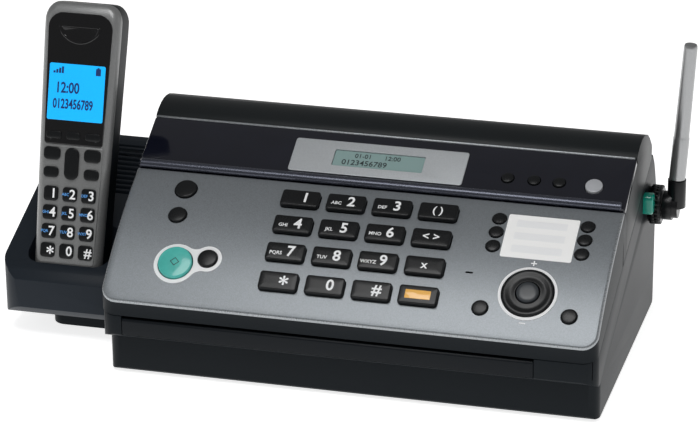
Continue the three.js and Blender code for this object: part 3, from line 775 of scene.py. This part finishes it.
# %% Printed fields
def wrapped(outline, x0, t0, top=0.12, bottom=-0.5, band=2.0):
    """A thin closed field with the given outline (mm), wrapped on the panel around (x0, t0)."""
    shape = loft([[Vector((p[0], p[1], level)) for p in outline] for level in (bottom, top)])
    low = min(p[1] for p in outline)
    high = max(p[1] for p in outline)
    for step in range(1, int((high - low) / band) + 1):
        geometry = shape.verts[:] + shape.edges[:] + shape.faces[:]
        bmesh.ops.bisect_plane(shape, geom=geometry, plane_co=(0, low + step * band, 0), plane_no=(0, 1, 0))
    for vert in shape.verts:
        vert.co = on_sheet(x0 + vert.co.x, t0 * CHORD + vert.co.y, vert.co.z)
    return shape


def lobes(radius_a, radius_b, offset, fillet):
    """The outline round two circles joined by a soft waist. `offset` leads from the first to the second."""
    distance = math.hypot(*offset)
    heading = math.atan2(offset[1], offset[0])
    reach_a, reach_b = radius_a + fillet, radius_b + fillet
    angle_a = math.acos((reach_a ** 2 + distance ** 2 - reach_b ** 2) / (2 * reach_a * distance))
    angle_b = math.acos((reach_b ** 2 + distance ** 2 - reach_a ** 2) / (2 * reach_b * distance))
    points = []

    def arc(cx, cy, radius, start, end, steps):
        for i in range(steps):
            a = start + (end - start) * i / steps
            points.append((cx + radius * math.cos(a), cy + radius * math.sin(a)))

    arc(0, 0, radius_a, angle_a, 2 * math.pi - angle_a, 40)
    low = (reach_a * math.cos(angle_a), -reach_a * math.sin(angle_a))
    arc(*low, fillet, math.pi - angle_a, angle_b, 8)
    arc(distance, 0, radius_b, -(math.pi - angle_b), math.pi - angle_b, 28)
    high = (low[0], -low[1])
    arc(*high, fillet, -angle_b, -(math.pi - angle_a), 8)
    return [(x * math.cos(heading) - y * math.sin(heading), x * math.sin(heading) + y * math.cos(heading))
            for x, y in points]


START_T, COPY_T = 0.283, 0.336
START_X, COPY_X = -247.7, -229.5
lobe_outline = lobes(12.6, 8.2, (COPY_X - START_X, (COPY_T - START_T) * CHORD), 7.0)
lobe_shape = wrapped(lobe_outline, START_X, START_T)
lobe_plugs = [plug(round_places["start_button"], 20.9, 20.9, 10.45, steps=12),
              plug(round_places["copy_button"], 12.1, 12.1, 6.05, steps=10)]
finish_piece("start_field", cut(lobe_shape, lobe_plugs), ink_white, "upper_unit")

VOLUME_X, VOLUME_T = -43.6, 0.318
ring_field = wrapped(rounded_outline(33.4, 33.4, 16.7, 16), VOLUME_X, VOLUME_T, 0.35)
finish_piece("volume_field", cut(ring_field, [plug(ring_matrix, 30.4, 30.4, 15.2, steps=16)]), ink_white,
             "upper_unit")
CARD_T, CARD_ROWS, CARD_ROW_STEP = 0.727, 3, 0.097
card = wrapped(rounded_outline(40.7, 30.0, 1.0, 3), VOLUME_X, CARD_T, 0.1)
finish_piece("index_card", card, card_white_painted_glow, "upper_unit")
for row in range(CARD_ROWS):
    line = wrapped(rounded_outline(29.0, 5.0, 0.6, 2), -44.0, CARD_T + (row - 1) * CARD_ROW_STEP, 0.16, 0.0)
    finish_piece(f"index_line_{row + 1}", line, ink_white, "upper_unit")


def sign(name, words, size, x, t, paint=ink_white, bold=0.1):
    shape = text_shape(words, size, bold)
    finish_piece(name, shape, paint, "upper_unit", panel_matrix(x, t) @ Matrix.Translation((0, 0, 0.1 * MM)))


def diamond(size, low, high):
    corners = ((size, 0), (0, size), (-size, 0), (0, -size))
    return loft([[Vector((x, y, level)) * MM for x, y in corners] for level in (low, high)])


sign("volume_up_sign", "+", 6.5, VOLUME_X, 0.528)
sign("volume_down_sign", "\u2013", 6.5, VOLUME_X, 0.118)
start_sign = cut(diamond(2.7, 2.2, 2.52), [diamond(2.15, 1.5, 3.5)])
finish_piece("start_sign", start_sign, ink_dark, "start_button", round_places["start_button"])
amber = loft(cap_rings(14.6, 5.4, 0.4, -1.0, 0.15, 0.1))
finish_piece("amber_field", amber, amber_label_painted_glow, "key_4_4",
             button_matrix("key_4_4", (KEY_RISE - KEY_DEPTH) / 2) @ Matrix.Translation((0, 0, 3.05 * MM)))
print("printed fields made")

# %% [markdown]
# ## The handset
# The handset is a tapering bar that is wider at the top. Its body is lofted from rounded
# rectangles along its length and cut into a silver front frame and a black back shell along the
# parting line. The upper half of its face is one glossy black window. Drawn upright, it is set down
# with one matrix, which leans as its lift-out joint does.

# %% Handset body
lift = next(Vector(j["axis"]) for j in frame["record"]["behaviour"]["joints"] if j["name"] == "handset_lift")
HANDSET = Matrix.Translation(spot(-326.1, 50.0, 22.0)) @ Matrix.Rotation(-math.atan2(lift.y, lift.z), 4, "X")
HANDSET_LENGTH = 169.0
HANDSET_FRONT, HANDSET_BACK, PARTING = -12.0, 11.0, -6.0
FOOT_WIDTH, CROWN_WIDTH = 40.5, 47.5


def handset_width(height):
    return FOOT_WIDTH + (CROWN_WIDTH - FOOT_WIDTH) * height / HANDSET_LENGTH


def handset_rings():
    """Sections from the foot to the crown: (height, inset at the sides, inset in depth)."""
    levels = [(0.0, 2.6, 2.0), (0.8, 1.2, 0.9), (2.6, 0.2, 0.2)]
    levels += [(height, 0.0, 0.0) for height in range(10, 151, 10)]
    crown = 12.0
    for degrees in (12, 24, 36, 48, 60, 72, 82, 90):
        lean = math.radians(degrees)
        levels.append((HANDSET_LENGTH - crown + crown * math.sin(lean), crown * 0.62 * (1 - math.cos(lean)),
                       crown * 0.42 * (1 - math.cos(lean))))
    rings = []
    for height, side, depth in levels:
        outline = rounded_outline(handset_width(height) - 2 * side, HANDSET_BACK - HANDSET_FRONT - 2 * depth,
                                  5.5, 8)
        middle = (HANDSET_FRONT + HANDSET_BACK) / 2
        rings.append([Vector((p.x, middle + p.y, height)) * MM for p in outline])
    return rings


def half(shape, plane_y, keep_front):
    normal = (0, 1, 0) if keep_front else (0, -1, 0)
    geometry = shape.verts[:] + shape.edges[:] + shape.faces[:]
    result = bmesh.ops.bisect_plane(shape, geom=geometry, plane_co=(0, plane_y * MM, 0), plane_no=normal,
                                    clear_outer=True)
    edges = [item for item in result["geom_cut"] if isinstance(item, bmesh.types.BMEdge)]
    bmesh.ops.edgeloop_fill(shape, edges=edges)
    bmesh.ops.recalc_face_normals(shape, faces=shape.faces)
    return shape


def face_matrix(x, height, out=0.0):
    """A frame on the handset's face: local X right, local Y up the handset, local Z towards the user."""
    columns = Matrix(((1, 0, 0), (0, 0, -1), (0, 1, 0))).to_4x4()
    return HANDSET @ Matrix.Translation(Vector((x, HANDSET_FRONT - out, height)) * MM) @ columns


finish_piece("handset_frame", half(loft(handset_rings()), PARTING, True), handset_silver, "handset", HANDSET,
             ("handset_front",))
finish_piece("handset_shell", half(loft(handset_rings()), PARTING + 0.3, False), case_black, "handset",
             HANDSET, ("handset_back",))


# %% Handset face
def tapered_plate(low, high, margin, top_radius, bottom_radius, levels, steps=8):
    """A plate on the face between two heights whose sides follow the handset's taper."""
    rings = []
    for inset, out in levels:
        points = []
        for side, height, radius, start in (
                (1, high, top_radius, 0), (-1, high, top_radius, 90),
                (-1, low, bottom_radius, 180), (1, low, bottom_radius, 270)):
            radius = max(radius - inset, 0.2)
            reach = handset_width(height) / 2 - margin - inset
            direction = 1 if height == high else -1
            for step in range(steps + 1):
                angle = math.radians(start + 90 * step / steps)
                points.append(Vector((
                    side * (reach - radius) + radius * math.cos(angle),
                    (height - direction * inset) - direction * radius + radius * math.sin(angle), out)) * MM)
        rings.append(points)
    return loft(rings)


FACE = face_matrix(0.0, 0.0)
PLATE_LEVELS = ((0.0, -1.0), (0.0, 0.25), (0.25, 0.5), (0.7, 0.6))
finish_piece("handset_face", tapered_plate(86.0, 163.0, 4.0, 9.0, 2.0, PLATE_LEVELS), face_black,
             "handset", FACE)
LOWER_LEVELS = ((0.0, -1.0), (0.0, 0.1), (0.3, 0.35), (0.6, 0.4))
finish_piece("handset_keyboard", tapered_plate(14.0, 85.4, 3.6, 1.5, 5.0, LOWER_LEVELS), handset_silver,
             "handset", FACE)
finish_piece("handset_display", loft(cap_rings(34.2, 33.0, 1.0, -0.5, 0.75, 0.12)), screen_blue, "handset",
             face_matrix(0.0, 116.8), ("handset_screen",))


def face_print(name, words, size, x, height, paint=ink_blue, bold=0.05, out=0.82, narrow=1.0, tall=1.0):
    shape = text_shape(words, size, bold)
    finish_piece(name, shape, paint, "handset",
                 face_matrix(x, height, out) @ Matrix.Diagonal((narrow, tall, 1.0, 1.0)))


face_print("handset_clock", "12:00", 7.0, -5.5, 119.0, bold=0.14, narrow=0.95, tall=1.25)
face_print("handset_number", "0123456789", 5.8, -1.6, 109.6, bold=0.14, narrow=0.85, tall=1.35)
icons = bmesh.new()
signal_bars = [((-14.6 + 1.7 * i, 127.6, 0.0), (-13.4 + 1.7 * i, 128.8 + 0.9 * i, 0.12)) for i in range(4)]
battery = [((11.4, 127.6, 0.0), (14.4, 131.6, 0.12)), ((12.3, 131.6, 0.0), (13.5, 132.2, 0.12))]
for low, high in signal_bars + battery:
    size = [h - l for l, h in zip(low, high)]
    middle = [(h + l) / 2 for l, h in zip(low, high)]
    bmesh.ops.create_cube(icons, size=1.0, matrix=(
        Matrix.Translation(Vector(middle) * MM) @ Matrix.Diagonal([v * MM for v in size] + [1.0])))
finish_piece("handset_icons", icons, ink_blue, "handset", face_matrix(0.0, 0.0, 0.8))


# %% Earpiece
def smile_outline(width, depth, steps=14):
    """The earpiece: a shallow bowl outline, straight above and curved below."""
    top = [(width / 2 - 1.2 * (1 - math.cos(math.radians(a))), 1.2 * math.sin(math.radians(a)))
           for a in range(0, 91, 18)]
    top += [(-x, y) for x, y in reversed(top)]
    bowl = [(-width / 2 + width * i / steps, -depth * math.sin(math.pi * i / steps) ** 0.6) for i in
            range(1, steps)]
    return top + bowl


ear_rings = []
for inset, out in ((0.0, -0.5), (0.0, 0.75), (0.05, 0.95), (0.12, 0.9), (0.16, 0.62)):
    ear_rings.append([Vector((x * (1 - inset), y * (1 - inset) - 2 * inset, out)) * MM
                      for x, y in smile_outline(26.0, 9.0)])
finish_piece("earpiece_lip", loft(ear_rings), face_black, "handset", face_matrix(0.0, 154.0))

# %% Handset keys
key_shapes = []


def handset_key(x, height, width, tall, radius, rise=1.5):
    shape = loft(cap_rings(width, tall, radius, -0.5, rise, 0.55, 0.08))
    shape.transform(face_matrix(x, height))
    key_shapes.append(shape)


KEYTOP_PRINT = 1.62                   # the height of the printing on a handset key
HANDSET_DIGITS = (("*", "0", "#"), ("7", "8", "9"), ("4", "5", "6"), ("1", "2", "3"))
for row, digits in enumerate(HANDSET_DIGITS):
    for column, digit in enumerate(digits):
        x = 11.6 * (column - 1)
        height = 23.8 + 11.1 * row
        handset_key(x, height, 8.8, 8.6, 2.0)
        face_print(f"handset_digit_{row}_{column}", digit, 10.5 if digit == "*" else 7.8,
                   x + 1.9, height - (2.0 if digit == "*" else 0), ink_white, 0.14, KEYTOP_PRINT)
        if digit in LETTERS:
            face_print(f"handset_letters_{row}_{column}", LETTERS[digit][:3], 2.3, x - 2.3, height,
                       ink_sky, 0.04, KEYTOP_PRINT)
for x, height, width, tall, radius in (
        (-12.4, 80.6, 10.2, 7.6, 2.6), (12.4, 80.6, 10.2, 7.6, 2.6),
        (-12.4, 69.6, 9.2, 6.4, 2.4), (12.4, 69.6, 9.2, 6.4, 2.4)):
    handset_key(x, height, width, tall, radius)
handset_key(0.0, 75.2, 8.6, 19.0, 4.2, 1.9)
for x in (-12.0, 0.0, 12.0):
    handset_key(x, 91.5, 9.4 if x else 8.4, 4.4, 1.6, 1.3)
finish_piece("handset_keys", joined(key_shapes), key_black, "handset", None, ("handset_keymat",))
for side in (-1, 1):
    accent = loft([[Vector((x * side, y, z)) * MM for x, y in
                    (((0, 0), (3.4, 2.6), (2.6, 3.2)) if side > 0 else ((0, 0), (2.6, 3.2), (3.4, 2.6)))]
                   for z in (0.3, 0.8)])
    finish_piece(f"soft_key_accent_{'right' if side > 0 else 'left'}", accent, accent_silver, "handset",
                 face_matrix(13.4 * side, 88.6))
print("handset keys:", len(key_shapes))

# %% [markdown]
# ## Ribs and louvres
# Repeated ribs come from one small Geometry Nodes tree: a line of points, the rib put on each, and a
# turn about X that grows with the point's index. With no offset the ribs go round a shaft; with no
# turn they march up a slope.

# %% Rib tree
def rib_tree():
    tree = bpy.data.node_groups.new("rows_of_ribs", "GeometryNodeTree")
    sockets = {}
    for name, kind in (("Geometry", "NodeSocketGeometry"), ("Count", "NodeSocketInt"),
                       ("Offset", "NodeSocketVector"), ("Turn", "NodeSocketFloat"),
                       ("Material", "NodeSocketMaterial")):
        sockets[name] = tree.interface.new_socket(name, in_out="INPUT", socket_type=kind).identifier
    tree.interface.new_socket("Geometry", in_out="OUTPUT", socket_type="NodeSocketGeometry")
    (source, index, maths, turn, line, place, real, painted, result) = (
        tree.nodes.new(kind) for kind in (
            "NodeGroupInput", "GeometryNodeInputIndex", "ShaderNodeMath", "ShaderNodeCombineXYZ",
            "GeometryNodeMeshLine", "GeometryNodeInstanceOnPoints", "GeometryNodeRealizeInstances",
            "GeometryNodeSetMaterial", "NodeGroupOutput"))
    maths.operation = "MULTIPLY"
    line.mode = "OFFSET"
    for start, end in (
            (source.outputs["Count"], line.inputs["Count"]),
            (source.outputs["Offset"], line.inputs["Offset"]),
            (index.outputs[0], maths.inputs[0]),
            (source.outputs["Turn"], maths.inputs[1]),
            (maths.outputs[0], turn.inputs[0]),
            (line.outputs[0], place.inputs["Points"]),
            (source.outputs["Geometry"], place.inputs["Instance"]),
            (turn.outputs[0], place.inputs["Rotation"]),
            (place.outputs[0], real.inputs[0]),
            (real.outputs[0], painted.inputs["Geometry"]),
            (source.outputs["Material"], painted.inputs["Material"]),
            (painted.outputs[0], result.inputs[0])):
        tree.links.new(start, end)
    return tree, sockets


RIBS, RIB_SOCKETS = rib_tree()


def ribs(name, rib, count, offset, turn, paint, body, matrix):
    draft = link_draft(name + "_draft", rib, [paint])
    modifier = draft.modifiers.new("ribs", "NODES")
    modifier.node_group = RIBS
    for socket, value in (("Count", count), ("Offset", [v * MM for v in offset]), ("Turn", turn),
                          ("Material", paint)):
        modifier[RIB_SOCKETS[socket]] = value
    finish_piece(name, evaluated_shape(draft), paint, body, matrix)


def rib_bar(length, middle_z, width, height, sides=12):
    """A bar along X with a rounded back, its middle `middle_z` above the axis."""
    rings = []
    for x in (-length / 2, -length / 2 + 0.4, length / 2 - 0.4, length / 2):
        share = 0.7 if abs(x) == length / 2 else 1.0
        ring = []
        for i in range(sides):
            angle = 2 * math.pi * i / sides
            ring.append(Vector((x, math.cos(angle) * width / 2 * share,
                                middle_z + math.sin(angle) * height / 2 * share)) * MM)
        rings.append(ring)
    return loft(rings)


BASE_RIBS = 26
ribs("antenna_base_ribs", rib_bar(6.4, 10.9, 1.3, 1.5), BASE_RIBS, (0, 0, 0), 2 * math.pi / BASE_RIBS,
     key_black, "base", Matrix.Translation(spot(4.6, 146.0, 70.0)))
GRILLE_FOOT, GRILLE_TOP = (44.0, 42.5), (150.0, 78.4)   # the cradle's sloping face, as (Y, Z)
FIRST_LOUVRE = 106.9
grille_slope = (GRILLE_TOP[1] - GRILLE_FOOT[1]) / (GRILLE_TOP[0] - GRILLE_FOOT[0])
louvre_height = GRILLE_FOOT[1] + (FIRST_LOUVRE - GRILLE_FOOT[0]) * grille_slope - 0.25
ribs("grille_louvres", rib_bar(55.0, 0.0, 2.0, 1.4), 10, (0, 4.0, 4.0 * grille_slope), 0.0,
     cradle_slate, "base", Matrix.Translation(spot(-324.0, FIRST_LOUVRE, louvre_height)))

# %% [markdown]
# ## Sockets at the back
# The mains inlet and the line socket are blind boxes behind their openings.

# %% Sockets
def block(x0, x1, y0, y1, z0, z1, shape=None):
    shape = shape or bmesh.new()
    middle = spot((x0 + x1) / 2, (y0 + y1) / 2, (z0 + z1) / 2)
    bmesh.ops.create_cube(shape, size=1.0, matrix=Matrix.Translation(middle) @ Matrix.Diagonal(
        ((x1 - x0) * MM, (y1 - y0) * MM, (z1 - z0) * MM, 1.0)))
    return shape


for name, x0, x1, z0, z1 in (("mains_inlet", -74.7, -49.3, 12.3, 29.7),
                             ("line_socket", -109.7, -97.3, 12.3, 23.7)):
    tub = cut(block(x0 - 1.0, x1 + 1.0, 150.0, 162.8, z0 - 1.0, z1 + 1.0),
              [block(x0 + 1.2, x1 - 1.2, 152.0, 170.0, z0 + 1.2, z1 - 1.2)])
    finish_piece(name, tub, case_black, "base")
pins = bmesh.new()
for x in (-66.5, -57.5):
    block(x - 1.0, x + 1.0, 151.5, 161.5, 20.0, 22.0, pins)
for i in range(4):
    block(-106.2 + 1.7 * i, -105.6 + 1.7 * i, 151.5, 160.0, 13.8, 14.6, pins)
finish_piece("socket_pins", pins, steel_plate, "base")
print("ribs, louvres and sockets made")

# %% [markdown]
# ## Camera, floor and light
# The camera stands well back with a long lens. A wide soft light overhead gives the panel its
# gradient, two weaker ones fill in from the sides, and the floor is plain and pale.

# %% Camera
camera_data = bpy.data.cameras.new("camera")
camera_data.sensor_width = 36.0
camera_data.lens = 175.1
camera_data.clip_end = 20.0
camera = bpy.data.objects.new("camera", camera_data)
bpy.context.scene.collection.objects.link(camera)
bpy.context.scene.camera = camera
YAW = math.radians(15.4)
DOWN = math.radians(23.0)
ROLL = math.radians(-0.7)
forward = Vector((-math.sin(YAW) * math.cos(DOWN), math.cos(YAW) * math.cos(DOWN), -math.sin(DOWN)))
right = Vector((math.cos(YAW), math.sin(YAW), 0.0))
up = right.cross(forward)
right_rolled = right * math.cos(ROLL) + up * math.sin(ROLL)
up_rolled = up * math.cos(ROLL) - right * math.sin(ROLL)
turn = Matrix((right_rolled, up_rolled, -forward)).transposed().to_4x4()
camera.matrix_world = Matrix.Translation(spot(318.2, -1668.5, 844.7)) @ turn
print("camera at", tuple(round(v, 3) for v in camera.location))

# %% Floor and lights
floor_paint = Paint("floor", Roughness=0.7, Emission_Strength=0.8)
for socket, palest in (("Base Color", 254), ("Emission Color", 255)):
    floor_paint.feed(socket, floor_paint.between(
        floor_paint.noise(3.0), tint(250, 250, 250), tint(palest, palest, palest)))
floor_shape = bmesh.new()
bmesh.ops.create_grid(floor_shape, x_segments=2, y_segments=2, size=6.0)
link_draft("floor", floor_shape, [floor_paint.material])


def soft_light(name, place, target, size, power):
    light = bpy.data.lights.new(name, "AREA")
    light.shape = "RECTANGLE"
    light.size = size[0]
    light.size_y = size[1]
    light.energy = power
    holder = bpy.data.objects.new(name, light)
    bpy.context.scene.collection.objects.link(holder)
    aim = Vector(target) - Vector(place)
    holder.matrix_world = Matrix.Translation(place) @ aim.to_track_quat("-Z", "Y").to_matrix().to_4x4()


soft_light("overhead", (-0.05, -0.60, 1.45), (0.05, 0.0, 0.05), (0.85, 0.6), 8.6)
soft_light("from_the_right", (1.7, 0.3, 0.8), (0.1, 0.0, 0.06), (0.8, 0.6), 1.3)
soft_light("from_the_left", (-1.6, -0.9, 0.9), (-0.1, 0.0, 0.1), (0.6, 0.8), 0.9)
world = bpy.data.worlds.new("studio")
bpy.context.scene.world = world
world.use_nodes = True
world.node_tree.nodes["Background"].inputs[0].default_value = (1.0, 1.0, 1.0, 1.0)
world.node_tree.nodes["Background"].inputs[1].default_value = 0.25
bpy.context.scene.view_settings.view_transform = "Standard"
